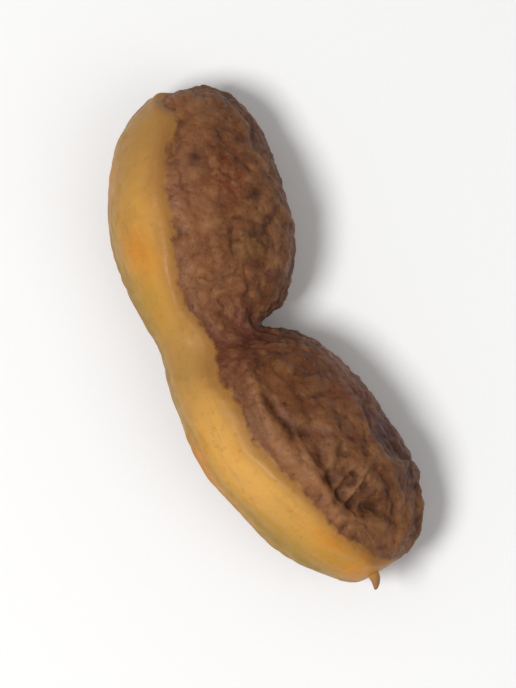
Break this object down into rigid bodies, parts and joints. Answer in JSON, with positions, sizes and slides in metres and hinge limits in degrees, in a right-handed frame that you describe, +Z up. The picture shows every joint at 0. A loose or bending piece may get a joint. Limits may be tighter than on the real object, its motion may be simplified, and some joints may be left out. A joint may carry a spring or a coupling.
{
  "type": "dried pagoda tree pod",
  "caption": "Dried bead-string legume pod of the pagoda tree, with wrinkled brown seed lobes, a pinched waist, a smooth golden band along its back and a short beak.",
  "frame": {"origin": "middle of the bounding box in plan, on the surface that the pod lies on", "axes": "+X along the pod from its round end to its beak, +Y from the golden band towards the pinched side, +Z up"},
  "size_m": [0.0284, 0.0106, 0.0081],
  "materials": {
    "pod_wall": "dry, leathery and slightly waxy brown wall, with a smooth golden band along the back"
  },
  "bodies": {
    "root": {"pod": "pod_wall"}
  },
  "joints": []
}
